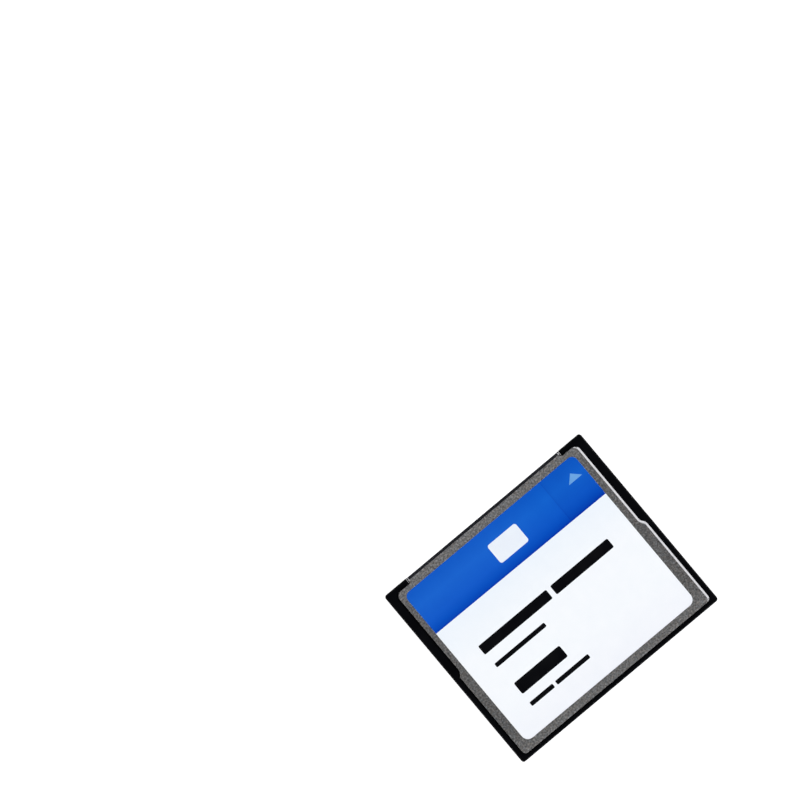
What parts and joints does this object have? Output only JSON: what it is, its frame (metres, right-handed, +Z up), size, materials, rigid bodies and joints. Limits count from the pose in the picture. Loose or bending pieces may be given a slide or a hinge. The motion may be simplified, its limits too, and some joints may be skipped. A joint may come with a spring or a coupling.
{
  "type": "compact flash card",
  "caption": "thin compact flash memory card with a black frame, steel covers, a blue and white label and a pin socket along its front edge",
  "frame": {"origin": "under the middle of the card, on the flat of the lower cover that it rests on", "axes": "+X across the card, +Y towards the socket edge that goes into the reader, +Z up through the label"},
  "size_m": [0.0428, 0.0364, 0.0033],
  "materials": {
    "black_plastic": "black moulded plastic with a fine satin grain",
    "cover_steel": "thin stainless sheet with a fine mottled, dull finish and a polished bevel",
    "label_film": "white printed film with a blue band along its front edge",
    "bonding_film": "amber heat-bonding film",
    "socket_plastic": "black glass-filled plastic",
    "contact_metal": "gold-plated spring strip",
    "board_laminate": "green solder-masked laminate",
    "package_resin": "dark moulding resin",
    "lead_metal": "tin-plated leads",
    "capacitor_resin": "yellow moulding resin",
    "can_metal": "nickel-plated sealed can",
    "capacitor_ceramic": "brown sintered ceramic",
    "resistor_ceramic": "dark glazed resistor body"
  },
  "bodies": {
    "root": {"frame": "black_plastic", "top_cover": "cover_steel", "bottom_cover": "cover_steel", "top_bonding_film": "bonding_film", "bottom_bonding_film": "bonding_film", "top_label": "label_film", "connector_housing": "socket_plastic", "upper_contacts": "contact_metal", "lower_contacts": "contact_metal", "circuit_board": "board_laminate", "upper_memory_body": "package_resin", "upper_memory_leads": "lead_metal", "lower_memory_body": "package_resin", "lower_memory_leads": "lead_metal", "controller_body": "package_resin", "controller_leads": "lead_metal", "regulator_body": "package_resin", "regulator_leads": "lead_metal", "tantalum_capacitor": "capacitor_resin", "crystal": "can_metal", "ceramic_capacitors": "capacitor_ceramic", "chip_resistors": "resistor_ceramic", "resistor_arrays": "resistor_ceramic"}
  },
  "joints": []
}
